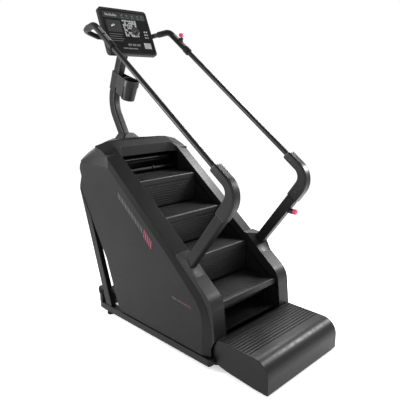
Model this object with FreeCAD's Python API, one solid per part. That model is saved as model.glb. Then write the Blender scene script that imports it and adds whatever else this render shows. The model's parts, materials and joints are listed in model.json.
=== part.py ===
import FreeCAD, Part
import math
import os

# Stair climber, millimetres. +X is the user's right, +Y is the way the user faces, +Z is up.
# The origin is on the floor at the centre of the machine's footprint.

Vector = FreeCAD.Vector

# ---- Driving dimensions: stairs ----
STEP_RUN = 257.0            # tread depth, nosing to nosing
STEP_RISE = 208.0           # height from one tread to the next
FIRST_NOSING = (-501.0, 394.0)   # lowest tread's front top edge, (y, z)
TREAD_HALF_WIDTH = 265.0
TREAD_THICKNESS = 22.0
NOSING_DEPTH = 44.0         # height of the rolled front lip
RISER_THICKNESS = 4.0
STEPS_IN_LOOP = 9
SPROCKET_RADIUS = 92.0      # chain pitch circle
AXLE_SETBACK = 30.0         # step axle behind and below its nosing
LOWER_TANGENT = 0.0         # where the flight leaves the lower sprocket, from the first nosing

# ---- Driving dimensions: casing ----
CASING_HALF = 396.0         # outer face of the side covers
SEAM_HALF = 374.0           # seam between side cover and stringer cover
OPENING_HALF = 270.0        # inner face of the stringers
BAND_SLOPE = 0.78           # rise over run of the stringers' top face
BAND_POINT = (112.0, 912.0)  # a point of that face's inner edge, (y, z)
BAND_DROP = 25.0            # how much lower the face's outer edge is
BAND_FOOT = -212.0          # y of the band's lower end
BAND_HEAD = 470.0           # y of its upper end, under the cap
WALL = 5.0                  # moulded cover thickness
GAP = 0.5                   # clearance between neighbouring covers

# ---- Driving dimensions: base ----
RAIL_OUTER = 402.0
RAIL_WIDTH = 52.0
RAIL_BOTTOM = 30.0
RAIL_TOP = 75.0
RAIL_WALL = 3.0
PAN_THICKNESS = 2.0
RAIL_FRONT = -529.0
BASE_REAR = 660.0
ENTRY_TOP = 201.0
ENTRY_FRONT = -925.0
ENTRY_REAR = -548.0
ENTRY_HALF = 358.0

# ---- Driving dimensions: handrails and mast ----
TUBE_RADIUS = 17.5
TUBE_WALL = 2.5
GRIP_RADIUS = 22.5
POST_X = 341.0              # centre plane of the post and elbow
POST_WIDTH = 70.0
POST_DEPTH = 60.0
POST_LENGTH = 650.0
SHAFT_RADIUS = 14.0
RUNNING_FIT = 0.05          # radial clearance of a shaft in its bearing

CHORD = math.hypot(STEP_RUN, STEP_RISE)
UP_FLIGHT = Vector(0, STEP_RUN / CHORD, STEP_RISE / CHORD)
OUT_OF_FLIGHT = Vector(0, -STEP_RISE / CHORD, STEP_RUN / CHORD)
AXLE_OFFSET = Vector(0, AXLE_SETBACK, -AXLE_SETBACK)
CHAIN_DROP = -AXLE_OFFSET.dot(OUT_OF_FLIGHT)
AXLE_LEAD = AXLE_OFFSET.dot(UP_FLIGHT)
ORIGIN = Vector(0, 0, 0)
X_AXIS = Vector(1, 0, 0)
Y_AXIS = Vector(0, 1, 0)
Z_AXIS = Vector(0, 0, 1)


# ---- Outlines: corners are (a, b) or (a, b, corner radius) ----

def rounded_wire(corners, place):
    """Closed wire through the corners, with each stated radius as a tangent arc."""
    points = [Vector(c[0], c[1], 0) for c in corners]
    radii = [c[2] if len(c) > 2 else 0.0 for c in corners]
    stations = []
    for i, corner in enumerate(points):
        back = (points[i - 1] - corner).normalize()
        ahead = (points[(i + 1) % len(points)] - corner).normalize()
        if radii[i] == 0.0:
            stations.append((corner, None, corner))
            continue
        half = back.getAngle(ahead) / 2
        trim = radii[i] / math.tan(half)
        middle = corner + (back + ahead).normalize() * (radii[i] / math.sin(half) - radii[i])
        stations.append((corner + back * trim, middle, corner + ahead * trim))
    edges = []
    for i, (start, middle, end) in enumerate(stations):
        if middle is not None:
            edges.append(Part.Arc(place(start), place(middle), place(end)).toShape())
        following = stations[(i + 1) % len(stations)][0]
        if (following - end).Length > 1e-6:
            edges.append(Part.LineSegment(place(end), place(following)).toShape())
    return Part.Wire(edges)


def yz_wire(corners, x):
    return rounded_wire(corners, lambda p: Vector(x, p.x, p.y))


def slab_x(corners, x0, x1):
    """A (y, z) outline extruded from x0 to x1."""
    return Part.Face(yz_wire(corners, x0)).extrude(Vector(x1 - x0, 0, 0))


def slab_y(corners, y0, y1):
    """An (x, z) outline extruded from y0 to y1."""
    wire = rounded_wire(corners, lambda p: Vector(p.x, y0, p.y))
    return Part.Face(wire).extrude(Vector(0, y1 - y0, 0))


def slab_z(corners, z0, z1):
    """An (x, y) outline extruded from z0 to z1."""
    wire = rounded_wire(corners, lambda p: Vector(p.x, p.y, z0))
    return Part.Face(wire).extrude(Vector(0, 0, z1 - z0))


def inset(corners, distance):
    """The same outline with every side moved inwards by distance."""
    points = [Vector(c[0], c[1], 0) for c in corners]
    radii = [c[2] if len(c) > 2 else 0.0 for c in corners]
    count = len(points)
    area = sum(points[i - 1].x * points[i].y - points[i].x * points[i - 1].y for i in range(count))
    turn = 1.0 if area > 0 else -1.0
    moved = []
    for i, corner in enumerate(points):
        before = (corner - points[i - 1]).normalize()
        after = (points[(i + 1) % count] - corner).normalize()
        normal_before = Vector(-before.y, before.x, 0) * turn
        normal_after = Vector(-after.y, after.x, 0) * turn
        reach = distance / (1 + normal_before.dot(normal_after))
        shifted = corner + (normal_before + normal_after) * reach
        convex = before.cross(after).z * turn > 0
        radius = radii[i] - distance if convex else radii[i] + distance
        moved.append((shifted.x, shifted.y, radius) if radii[i] and radius > 0.5 else (shifted.x, shifted.y))
    return moved


def box(x0, x1, y0, y1, z0, z1):
    return Part.makeBox(x1 - x0, y1 - y0, z1 - z0, Vector(x0, y0, z0))


def rod(start, end, radius):
    return Part.makeCylinder(radius, (end - start).Length, start, end - start)


def rod_x(x0, x1, y, z, radius):
    return rod(Vector(x0, y, z), Vector(x1, y, z), radius)


def mirrored(shape):
    return shape.mirror(ORIGIN, X_AXIS)


def band_height(y):
    """Height of the stringers' sloping top face."""
    return BAND_POINT[1] + BAND_SLOPE * (y - BAND_POINT[0])


def lowered(corners, drop):
    return [(c[0], c[1] - drop) + tuple(c[2:]) for c in corners]


def sloped_slab(corners, x0, x1, drop):
    """A (y, z) outline drawn from x0 to x1, its far end lower by drop."""
    return Part.makeLoft([yz_wire(corners, x0), yz_wire(lowered(corners, drop), x1)], True, True)


def bent_path(points, radii):
    """Straight runs through the points, joined by tangent arcs of the given radii."""
    edges = []
    start = points[0]
    for i in range(1, len(points) - 1):
        corner = points[i]
        back = (points[i - 1] - corner).normalize()
        ahead = (points[i + 1] - corner).normalize()
        half = back.getAngle(ahead) / 2
        radius = radii[i - 1]
        trim = radius / math.tan(half)
        middle = corner + (back + ahead).normalize() * (radius / math.sin(half) - radius)
        edges.append(Part.LineSegment(start, corner + back * trim).toShape())
        edges.append(Part.Arc(corner + back * trim, middle, corner + ahead * trim).toShape())
        start = corner + ahead * trim
    edges.append(Part.LineSegment(start, points[-1]).toShape())
    return Part.Wire(edges)


def round_bar(points, radii, radius):
    """Solid round bar along a bent path."""
    path = bent_path(points, radii)
    ring = Part.Wire(Part.Circle(points[0], points[1] - points[0], radius).toShape())
    return path.makePipeShell([ring], True, False)


# ---- Stair geometry ----

def nosing(index):
    """Front top edge of the step at this place in the flight."""
    return Vector(0, FIRST_NOSING[0] + STEP_RUN * index, FIRST_NOSING[1] + STEP_RISE * index)


CHAIN_RUN = (STEPS_IN_LOOP * CHORD - 2 * math.pi * SPROCKET_RADIUS) / 2
LOWER_CENTRE = nosing(0) + UP_FLIGHT * LOWER_TANGENT - OUT_OF_FLIGHT * (SPROCKET_RADIUS + CHAIN_DROP)
UPPER_CENTRE = LOWER_CENTRE + UP_FLIGHT * CHAIN_RUN
CHAIN_X = (278.0, 298.0)
SPROCKET_X = (284.0, 292.0)
AXLE_RADIUS = 6.0
STEP_TRAVEL = 50.0


def tread_solid(front, length, thickness):
    """A ribbed tread plate that runs back from its rolled nosing, (y, z) of its front top edge."""
    y, z = front
    profile = [(y, z, 9.0), (y, z - NOSING_DEPTH, 5.0), (y + 12, z - NOSING_DEPTH, 5.0),
               (y + 12, z - thickness - 8, 6.0), (y + 24, z - thickness), (y + length, z - thickness),
               (y + length, z)]
    tread = slab_x(profile, -TREAD_HALF_WIDTH, TREAD_HALF_WIDTH)
    pitch = 16.0
    first = y + 36
    count = int((length - 48) / pitch)
    grooves = [box(-TREAD_HALF_WIDTH + 12, TREAD_HALF_WIDTH - 12, first + pitch * i, first + pitch * i + 6,
                   z - 3, z + 1) for i in range(count)]
    return tread.cut(Part.makeCompound(grooves))


def step_axle(centre, clearance=0.0):
    """The pin that carries a step on both chains."""
    reach = CHAIN_X[0] + 4 + clearance
    return rod_x(-reach, reach, centre.y, centre.z, AXLE_RADIUS + clearance)


def flight_step(index):
    """One visible step: ribbed tread, riser hanging from its nosing, and its chain axle."""
    edge = nosing(index)
    length = STEP_RUN - 14
    step = tread_solid((edge.y, edge.z), length, TREAD_THICKNESS)
    axle = edge + AXLE_OFFSET
    lugs = [rod_x(side * 257 - 8, side * 257 + 8, axle.y, axle.z, 12.0) for side in (-1, 1)]
    step = step.fuse(lugs + [step_axle(axle)])
    if index > 0:
        bottom = edge.z - STEP_RISE + 4
        riser = box(-TREAD_HALF_WIDTH, TREAD_HALF_WIDTH, edge.y + 4, edge.y + 4 + RISER_THICKNESS,
                    bottom, edge.z - NOSING_DEPTH + 6)
        ribs = [box(-TREAD_HALF_WIDTH + 8, TREAD_HALF_WIDTH - 8, edge.y + 2, edge.y + 5,
                    bottom + 14 + 18 * i, bottom + 20 + 18 * i) for i in range(8)]
        step = step.fuse([riser] + ribs)
    return step.removeSplitter()


def panel_step(axle, along, inward, length):
    """A folded step on the return side: a flat panel that trails its chain axle."""
    start = axle + along * 10
    corners = [start, start + along * length, start + along * length - inward * 20, start - inward * 20]
    wire = Part.makePolygon([p + Vector(-TREAD_HALF_WIDTH, 0, 0) for p in corners + corners[:1]])
    panel = Part.Face(wire).extrude(Vector(2 * TREAD_HALF_WIDTH, 0, 0))
    hub = rod_x(-TREAD_HALF_WIDTH, TREAD_HALF_WIDTH, axle.y, axle.z, 12.0)
    return panel.fuse([hub, step_axle(axle)]).removeSplitter()


def upper_turn_step():
    """The step that is going round the upper sprockets."""
    angle = (4 * CHORD + AXLE_LEAD - LOWER_TANGENT - CHAIN_RUN) / SPROCKET_RADIUS
    outward = OUT_OF_FLIGHT * math.cos(angle) + UP_FLIGHT * math.sin(angle)
    along = UP_FLIGHT * math.cos(angle) - OUT_OF_FLIGHT * math.sin(angle)
    return panel_step(UPPER_CENTRE + outward * SPROCKET_RADIUS, along, outward, 215.0)


def lower_turn_step():
    """The folded panel that is passing under the lower sprockets."""
    half = 88.0
    y, z = LOWER_CENTRE.y, LOWER_CENTRE.z - SPROCKET_RADIUS
    panel = box(-TREAD_HALF_WIDTH, TREAD_HALF_WIDTH, y - half, y + half, z - 8, z + 8)
    arms = [box(s * 240 - 5, s * 240 + 5, y - 22, y + 22, z, LOWER_CENTRE.z) for s in (-1, 1)]
    collars = [rod_x(s * 240 - 5, s * 240 + 5, y, LOWER_CENTRE.z, 24.0) for s in (-1, 1)]
    bore = rod_x(-300, 300, y, LOWER_CENTRE.z, SHAFT_RADIUS)
    return panel.fuse(arms + collars).cut(bore).removeSplitter()


def return_axles():
    """Axle centres of the three steps on the hidden return side of the loop."""
    tangent = UPPER_CENTRE - OUT_OF_FLIGHT * SPROCKET_RADIUS
    first = 5 * CHORD + AXLE_LEAD - LOWER_TANGENT - CHAIN_RUN - math.pi * SPROCKET_RADIUS
    return [tangent - UP_FLIGHT * (first + CHORD * i) for i in range(3)]


def return_steps():
    """The three folded steps on the return side, each trailing its axle."""
    panels = [panel_step(axle, -UP_FLIGHT, -OUT_OF_FLIGHT, 235.0) for axle in return_axles()]
    return Part.makeCompound(panels)


def chain_runs(start, direction, length, outward, axles):
    """Straight run of roller chain on both sides, its inner link plates bored for the step axles."""
    half = 9.0
    end = start + direction * length
    corners = [start + outward * half, end + outward * half, end - outward * half, start - outward * half]
    pieces = []
    for x in (CHAIN_X[0], SPROCKET_X[1] + 2):
        wire = Part.makePolygon([p + Vector(x, 0, 0) for p in corners + corners[:1]])
        pieces.append(Part.Face(wire).extrude(Vector(4, 0, 0)))
    pitch = 31.75
    count = int((length - 20) / pitch) + 1
    rollers = []
    for i in range(count):
        centre = start + direction * (10 + pitch * i)
        rollers.append(rod_x(CHAIN_X[0] + 4, SPROCKET_X[1] + 2, centre.y, centre.z, 5.0))
    run = pieces[0].fuse([pieces[1]] + rollers)
    run = run.cut([step_axle(axle, 0.05) for axle in axles])
    return Part.makeCompound([run, mirrored(run)])


def sprocket(centre, x0, x1):
    """Toothed disc inside the chain's rollers, with lightening holes."""
    teeth = 20
    root = SPROCKET_RADIUS - 12
    disc = rod_x(x0, x1, centre.y, centre.z, root)
    holes = []
    for i in range(6):
        angle = math.radians(60 * i)
        hole = centre + Vector(0, 58 * math.cos(angle), 58 * math.sin(angle))
        holes.append(rod_x(x0 - 1, x1 + 1, hole.y, hole.z, 18.0))
    points = []
    for i in range(teeth):
        angle = math.radians(360 / teeth * i)
        tip = Vector(x0, centre.y + (root + 1) * math.cos(angle), centre.z + (root + 1) * math.sin(angle))
        points.append(Part.makeCylinder(4.0, x1 - x0, tip, X_AXIS))
    return disc.fuse(points).cut(Part.makeCompound(holes))


def shaft_with_sprockets(centre, x_end):
    """Through shaft with a sprocket and its hub near each end."""
    shaft = rod_x(-x_end, x_end, centre.y, centre.z, SHAFT_RADIUS)
    discs = [sprocket(centre, SPROCKET_X[0], SPROCKET_X[1]), sprocket(centre, -SPROCKET_X[1], -SPROCKET_X[0])]
    hubs = [rod_x(side * 280 - 4, side * 280 + 4, centre.y, centre.z, 26.0) for side in (-1, 1)]
    return shaft.fuse(discs + hubs).removeSplitter()


def upper_shaft():
    """Driven shaft at the head of the stairs, with two collars, its sprockets and the driven pulley."""
    collars = [rod_x(x - 7, x + 7, UPPER_CENTRE.y, UPPER_CENTRE.z, 21.0) for x in (58.0, 196.0)]
    shaft = shaft_with_sprockets(UPPER_CENTRE, PULLEY_X[1]).fuse(collars).removeSplitter()
    return Part.makeCompound([shaft, pulley(UPPER_CENTRE, DRIVEN_RADIUS, SHAFT_RADIUS)])


# ---- Drive ----
PULLEY_X = (330.0, 346.0)
DRIVEN_RADIUS = 88.0
MOTOR_PULLEY_RADIUS = 32.0
MOTOR_CENTRE = Vector(0, 172.0, 285.0)


def pulley(centre, radius, bore):
    rim = rod_x(PULLEY_X[0], PULLEY_X[1], centre.y, centre.z, radius)
    groove = rod_x(PULLEY_X[0] + 3, PULLEY_X[1] - 3, centre.y, centre.z, radius + 2)
    groove = groove.cut(rod_x(PULLEY_X[0], PULLEY_X[1], centre.y, centre.z, radius - 4))
    return rim.cut(groove).cut(rod_x(PULLEY_X[0] - 1, PULLEY_X[1] + 1, centre.y, centre.z, bore))


def drive_belt():
    """Flat belt round the motor pulley and the driven pulley, a hair clear of both."""
    x0 = PULLEY_X[0] + 4
    x1 = PULLEY_X[1] - 4
    span = UPPER_CENTRE - MOTOR_CENTRE
    length = math.hypot(span.y, span.z)
    base = math.atan2(span.z, span.y)
    rings = []
    for extra in (3.5, 0.3):
        big = DRIVEN_RADIUS - 4 + extra
        small = MOTOR_PULLEY_RADIUS - 4 + extra
        lean = math.acos((big - small) / length)
        tangents = []
        for side in (1, -1):
            angle = base + side * (math.pi - lean)
            ray = Vector(0, math.cos(angle), math.sin(angle))
            tangents.append((MOTOR_CENTRE + ray * small, UPPER_CENTRE + ray * big))
        forward = Vector(0, math.cos(base), math.sin(base))
        edges = [
            Part.LineSegment(tangents[0][0], tangents[0][1]).toShape(),
            Part.Arc(tangents[0][1], UPPER_CENTRE + forward * big, tangents[1][1]).toShape(),
            Part.LineSegment(tangents[1][1], tangents[1][0]).toShape(),
            Part.Arc(tangents[1][0], MOTOR_CENTRE - forward * small, tangents[0][0]).toShape(),
        ]
        rings.append(Part.Face(Part.Wire(edges)).extrude(Vector(x1 - x0, 0, 0)))
    belt = rings[0].cut(rings[1])
    belt.translate(Vector(x0, 0, 0))
    return belt


def drive_motor():
    """Motor body with cooling fins, end bells and a mounting foot, its shaft end hollow for the pulley."""
    y, z = MOTOR_CENTRE.y, MOTOR_CENTRE.z
    body = rod_x(20, 250, y, z, 74.0)
    fins = [rod_x(50 + 18 * i, 56 + 18 * i, y, z, 80.0) for i in range(10)]
    bell = rod_x(250, 296, y, z, 40.0)
    foot = box(40, 230, y - 80, y + 80, RAIL_TOP + 60, z - 50)
    return body.fuse(fins + [bell, foot]).cut(rod_x(285, 300, y, z, 8 + RUNNING_FIT)).removeSplitter()


def motor_pulley():
    y, z = MOTOR_CENTRE.y, MOTOR_CENTRE.z
    shaft = rod_x(286, PULLEY_X[1], y, z, 8.0)
    return pulley(MOTOR_CENTRE, MOTOR_PULLEY_RADIUS, 7.0).fuse(shaft).removeSplitter()


# ---- Base ----

def base_frame():
    """Welded floor frame of hollow rails, rounded at the rear, with cross members and a bottom pan."""
    inner = RAIL_OUTER - RAIL_WIDTH
    rear_outline = [(-RAIL_OUTER, 572.0), (-RAIL_OUTER, BASE_REAR, 80.0), (RAIL_OUTER, BASE_REAR, 80.0),
                    (RAIL_OUTER, 572.0)]
    solids = [box_rail(rear_outline)]
    for side in (-1, 1):
        solids.append(box_rail([(side * inner, RAIL_FRONT, 6.0), (side * RAIL_OUTER, RAIL_FRONT, 14.0),
                                (side * RAIL_OUTER, 572.0), (side * inner, 572.0)]))
    for y in (RAIL_FRONT + 8, -180.0, 150.0):
        solids.append(box_rail([(-inner, y), (inner, y), (inner, y + 50), (-inner, y + 50)]))
    solids.append(box(-302, 302, RAIL_FRONT + 8, 200, RAIL_TOP, RAIL_TOP + PAN_THICKNESS))
    return Part.makeCompound(solids)


def box_rail(outline):
    """Hollow rail of the floor frame, with a drain hole in its underside."""
    rail = slab_z(outline, RAIL_BOTTOM, RAIL_TOP)
    hollow = slab_z(inset(outline, RAIL_WALL), RAIL_BOTTOM + RAIL_WALL, RAIL_TOP - RAIL_WALL)
    middle = rail.BoundBox.Center
    drain = rod(Vector(middle.x, middle.y, RAIL_BOTTOM - 1), Vector(middle.x, middle.y, RAIL_BOTTOM + 5), 3.0)
    return rail.cut(hollow).cut(drain)


def rear_base_cover():
    """Low moulded cap over the rear beam, with pockets for the transport wheels."""
    half = RAIL_OUTER - 4
    rear = BASE_REAR - 4
    outline = [(-half, 582.0), (-half, rear, 60.0), (half, rear, 60.0), (half, 582.0)]
    cap = slab_z(outline, RAIL_TOP, 138.0)
    hollow = slab_z(inset(outline, WALL), RAIL_TOP, 138.0 - WALL)
    cap = cap.cut(hollow)
    for side in (-1, 1):
        middle = side * WHEEL_CENTRE.x
        cap = cap.cut(box(middle - 28, middle + 28, 594, 680, RAIL_TOP - 1, 150))
    return cap.removeSplitter()


def levelling_feet():
    """Threaded feet: a rubber-shod pad and a short stem under each corner."""
    places = [(s * x, y) for s in (-1, 1) for x, y in ((376.0, 512.0), (300.0, -496.0))]
    feet = []
    for x, y in places:
        pad = rod(Vector(x, y, 0), Vector(x, y, 14), 24.0)
        feet.append(pad.fuse(rod(Vector(x, y, 14), Vector(x, y, RAIL_BOTTOM), 8.0)).removeSplitter())
    for s in (-1, 1):
        feet.append(rod(Vector(s * 325, -891, 0), Vector(s * 325, -891, 8), 20.0))
    return Part.makeCompound(feet)


WHEEL_CENTRE = Vector(340.0, 652.0, 125.0)
WHEEL_RADIUS = 46.0


def transport_wheel(side):
    """Small solid wheel with a recessed web."""
    x = side * WHEEL_CENTRE.x
    y, z = WHEEL_CENTRE.y, WHEEL_CENTRE.z
    wheel = rod_x(x - 14, x + 14, y, z, WHEEL_RADIUS)
    for face in (-1, 1):
        recess = rod_x(x + face * 8, x + face * 15, y, z, 34.0)
        wheel = wheel.cut(recess.cut(rod_x(x + face * 7, x + face * 16, y, z, 13.0)))
    return wheel.cut(rod_x(x - 20, x + 20, y, z, 8 + RUNNING_FIT))


def wheel_axles():
    """Fork plates on the rear beam and the pin through each transport wheel."""
    solids = []
    for side in (-1, 1):
        x = side * WHEEL_CENTRE.x
        pin = rod_x(x - 24, x + 24, WHEEL_CENTRE.y, WHEEL_CENTRE.z, 8.0)
        plates = []
        for face in (-1, 1):
            inner = x + face * 16
            outline = [(602.0, RAIL_TOP), (660.0, RAIL_TOP), (668.0, 118.0), (664.0, 138.0, 10.0),
                       (636.0, 140.0, 10.0), (602.0, 96.0, 8.0)]
            plates.append(slab_x(outline, min(inner, inner + face * 4), max(inner, inner + face * 4)))
        solids.append(pin.fuse(plates).removeSplitter())
    return Part.makeCompound(solids)


# ---- Casing outlines, (y, z) ----
PANEL_OUTLINE = [(-460.0, 80.0), (-460.0, 368.0, 190.0), (-170.0, 628.0, 150.0), (446.0, 1108.0, 40.0),
                 (787.0, 1106.0, 16.0), (800.0, 1061.0), (782.0, 1007.0), (809.0, 927.0, 12.0),
                 (506.0, 444.0, 80.0), (382.0, 119.0, 24.0), (346.0, 80.0, 6.0)]
SEAM_OUTLINE = [(-518.0, 80.0), (-518.0, 378.0, 330.0), (-212.0, 634.0, 150.0), (498.0, 1187.8, 90.0),
                (787.0, 1122.0, 16.0), (800.0, 1061.0), (782.0, 1007.0), (809.0, 927.0, 12.0),
                (506.0, 444.0, 80.0), (382.0, 119.0, 24.0), (346.0, 80.0, 6.0)]


def side_cover():
    """Right-hand side panel: a shallow dished moulding with a bevelled front and top."""
    outer = Part.makeLoft([yz_wire(PANEL_OUTLINE, CASING_HALF), yz_wire(SEAM_OUTLINE, SEAM_HALF)], True, True)
    hollow_panel = inset(PANEL_OUTLINE, WALL)
    hollow_seam = inset(SEAM_OUTLINE, WALL)
    hollow = Part.makeLoft([yz_wire(hollow_panel, CASING_HALF - WALL), yz_wire(hollow_seam, SEAM_HALF - 0.01)],
                           True, True)
    return outer.cut(hollow)


def stringer_cover():
    """Right-hand stringer: sloping top band and the inner wall beside the treads."""
    front = BAND_FOOT
    top = BAND_HEAD
    drop = 236.0
    outer = SEAM_HALF - GAP
    skin = WALL / math.cos(math.atan(BAND_SLOPE))
    outline = [(front, band_height(front)), (top, band_height(top)), (top, band_height(top) - drop),
               (front, band_height(front) - drop)]
    shell = sloped_slab(outline, OPENING_HALF, outer, BAND_DROP)
    hollow = [(front - 1, band_height(front - 1) - skin), (top + 1, band_height(top + 1) - skin),
              (top + 1, band_height(top) - drop - 50), (front - 1, band_height(front) - drop - 50)]
    slope = BAND_DROP / (outer - OPENING_HALF)
    near = OPENING_HALF + 4
    far = outer + 2
    inside = sloped_slab(lowered(hollow, slope * 4), near, far, slope * (far - near))
    return shell.cut(inside).cut(axle_slot())


def axle_slot():
    """Slot in the stringers' inner walls that the step axles travel in."""
    start = nosing(0) + AXLE_OFFSET - UP_FLIGHT * (STEP_TRAVEL + 20)
    end = nosing(3) + AXLE_OFFSET + UP_FLIGHT * 20
    half = OUT_OF_FLIGHT * (AXLE_RADIUS + 2)
    corners = [start + half, end + half, end - half, start - half]
    wire = Part.makePolygon([p + Vector(OPENING_HALF - 1, 0, 0) for p in corners + corners[:1]])
    return Part.Face(wire).extrude(Vector(6, 0, 0))


NOSE_OUTLINE = [(BAND_FOOT - GAP, 640.0), (-262.0, 626.0), (-518.0, 426.0, 140.0), (-543.0, 200.0, 60.0),
                (-543.0, 84.0), (BAND_FOOT - GAP, 84.0)]
NOSE_WALL_END = -337.0      # where the inner wall stops under the lowest tread
SEAM_FLANGE = 12.0          # how far the nose cover's outer flange reaches behind the side cover
BOSS_INNER = [(BAND_FOOT - GAP, 656.0), (-240.0, 651.0), (-388.0, 526.0), (-388.0, 470.0),
              (BAND_FOOT - GAP, 470.0)]
BOSS_OUTER = [(BAND_FOOT - GAP, 652.0), (-318.0, 643.0), (-380.0, 528.0), (-388.0, 470.0),
              (BAND_FOOT - GAP, 470.0)]


def boss_solid(inward, x0, x1):
    """Raised shoulder round the post's foot: a flat ledge, then a face that steepens outwards."""
    inner = inset(BOSS_INNER, inward) if inward else BOSS_INNER
    outer = inset(BOSS_OUTER, inward) if inward else BOSS_OUTER
    return Part.makeLoft([yz_wire(inner, x0), yz_wire(outer, x1)], True, True)


def nose_cover():
    """Right-hand lower cover: shoulder round the post's foot, rolled front and inner wall."""
    outer = SEAM_HALF - GAP
    shell = slab_x(NOSE_OUTLINE, OPENING_HALF, outer).fuse(boss_solid(0.0, OPENING_HALF, outer))
    flange = shell.common(box(outer - WALL, outer, -600, BAND_FOOT, 84, 700))
    flange = flange.cut(slab_x(inset(SEAM_OUTLINE, SEAM_FLANGE), outer - WALL - 1, outer + 1))
    flange_end = SEAM_OUTLINE[0][0] + SEAM_FLANGE
    flange = flange.cut(box(outer - WALL - 1, outer + 1, flange_end, BAND_FOOT, 80, 300))
    hollow = slab_x(inset(NOSE_OUTLINE, WALL), OPENING_HALF + 4, SEAM_HALF + 1)
    boss_hollow = boss_solid(WALL, OPENING_HALF + 4, SEAM_HALF + 1)
    open_back = box(OPENING_HALF + 4, SEAM_HALF + 1, -260, -200, 60, 630)
    below_treads = box(OPENING_HALF - 1, SEAM_HALF + 1, NOSE_WALL_END, -200, 60, 320)
    open_floor = box(OPENING_HALF + 4, SEAM_HALF + 1, -543 + WALL, -200, 80, 100)
    shaft_hole = rod_x(OPENING_HALF - 1, OPENING_HALF + 5, LOWER_CENTRE.y, LOWER_CENTRE.z, SHAFT_RADIUS + 3)
    for cutter in (hollow, boss_hollow, open_back, below_treads, open_floor, shaft_hole, axle_slot()):
        shell = shell.cut(cutter)
    return shell.fuse(flange).cut(entry_envelope(1.5)).removeSplitter()


def entry_envelope(gap):
    """The space that the entry step takes behind its rear edge."""
    outline = [(ENTRY_REAR - 40, 60.0), (ENTRY_REAR + gap + 64, 60.0), (ENTRY_REAR + gap, ENTRY_TOP + gap),
               (ENTRY_REAR - 40, ENTRY_TOP + gap)]
    return slab_x(outline, -RAIL_OUTER, RAIL_OUTER)


# ---- Entry step ----
ENTRY_OUTLINE = [(ENTRY_REAR, ENTRY_TOP, 3.0), (ENTRY_FRONT, ENTRY_TOP, 98.0), (ENTRY_FRONT, 14.0),
                 (ENTRY_FRONT + 90, 14.0), (-768.0, 18.0), (-624.0, 28.0), (RAIL_FRONT - GAP, 46.0),
                 (RAIL_FRONT - GAP, RAIL_TOP + 1), (ENTRY_REAR + 56, RAIL_TOP + 1)]


def entry_step_top():
    """Ribbed top of the entry step, rolled over into its front face."""
    half = ENTRY_HALF - 8
    outer = slab_x(ENTRY_OUTLINE, -half, half)
    hollow = slab_x(inset(ENTRY_OUTLINE, 9.0), -half - 1, half + 1)
    low_space = box(-half - 1, half + 1, ENTRY_FRONT + 9, 0, 0, ENTRY_TOP - 98)
    rear_space = box(-half - 1, half + 1, ENTRY_FRONT + 98, 0, 0, ENTRY_TOP - 40)
    skin = outer.cut(hollow).cut(low_space).cut(rear_space)
    grooves = [box(-half - 1, half + 1, -572 - 22.8 * i - 9, -572 - 22.8 * i, ENTRY_TOP - 4.5, ENTRY_TOP + 1)
               for i in range(10)]
    return skin.cut(Part.makeCompound(grooves))


def entry_cheek():
    """Right-hand end plate of the entry step."""
    plate = slab_x(ENTRY_OUTLINE, ENTRY_HALF - 8, ENTRY_HALF)
    rim = [e for e in plate.Edges if e.BoundBox.XMin > ENTRY_HALF - 0.1 and e.BoundBox.ZMax > 60]
    return plate.makeFillet(2.5, rim)


def entry_step_tray():
    """Dark under-tray that carries the entry step and bolts to the base frame."""
    half = ENTRY_HALF - 6
    top = [(ENTRY_FRONT + 12, 13.5), (ENTRY_FRONT + 90, 13.5), (-768.0, 17.5), (-624.0, 27.5),
           (ENTRY_REAR + 18, 45.0)]
    bottom = [(y, z - 5.5) for y, z in reversed(top)]
    tray = slab_x(top + bottom, -half, half)
    side_view = [(ENTRY_FRONT + 14, 10.0), (-768.0, 14.0), (-624.0, 24.0), (ENTRY_REAR + 17, 43.0),
                 (ENTRY_REAR - 12, ENTRY_TOP - 9.1), (ENTRY_FRONT + 98, ENTRY_TOP - 9.1, 80.0),
                 (ENTRY_FRONT + 14, ENTRY_TOP - 100)]
    ribs = [slab_x(side_view, x, x + 6) for x in (-180.0, 174.0)]
    return tray.fuse(ribs).removeSplitter()


# ---- Upper covers ----

CAP_LIP = 1157.0            # bottom of the lip round the opening


def cap_prism(profile):
    """A cap profile drawn level across the opening and sloping down over both stringers."""
    seam = SEAM_HALF - GAP
    wing = sloped_slab(profile, OPENING_HALF, seam, BAND_DROP)
    return slab_x(profile, -OPENING_HALF, OPENING_HALF).fuse([wing, mirrored(wing)])


def top_cap():
    """Cap over the top of the opening, joining both stringers, with a hanging lip."""
    seam = SEAM_HALF - GAP
    rear = 616.0
    lip = 521.0
    start = BAND_HEAD + GAP
    floor = CAP_LIP + BAND_DROP
    profile = [(start, band_height(start)), (510.0, band_height(510.0), 120.0), (rear, 1264.0),
               (rear, floor), (start, floor)]
    skirt = box(-seam, seam, start, rear, CAP_LIP, floor + 4)
    inner = [(400.0, band_height(400.0) - 7), (508.0, band_height(508.0) - 7, 120.0), (rear + 10, 1258.0),
             (rear + 10, 1080.0), (400.0, 1080.0)]
    hollow = cap_prism(inner).common(box(-seam + WALL, seam - WALL, 300, rear + 10, 1000, 1400))
    opening = slab_z([(-OPENING_HALF, 300.0), (-OPENING_HALF, lip, 62.0), (OPENING_HALF, lip, 62.0),
                      (OPENING_HALF, 300.0)], 1100, 1400)
    lip_wall = slab_z([(-OPENING_HALF - 4, 300.0), (-OPENING_HALF - 4, lip + 4, 66.0),
                       (OPENING_HALF + 4, lip + 4, 66.0), (OPENING_HALF + 4, 300.0)], 1100, 1400)
    block = cap_prism(profile).fuse(skirt)
    lip_wall = lip_wall.common(block)
    return block.cut(hollow).fuse(lip_wall).cut(opening).removeSplitter()


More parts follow.
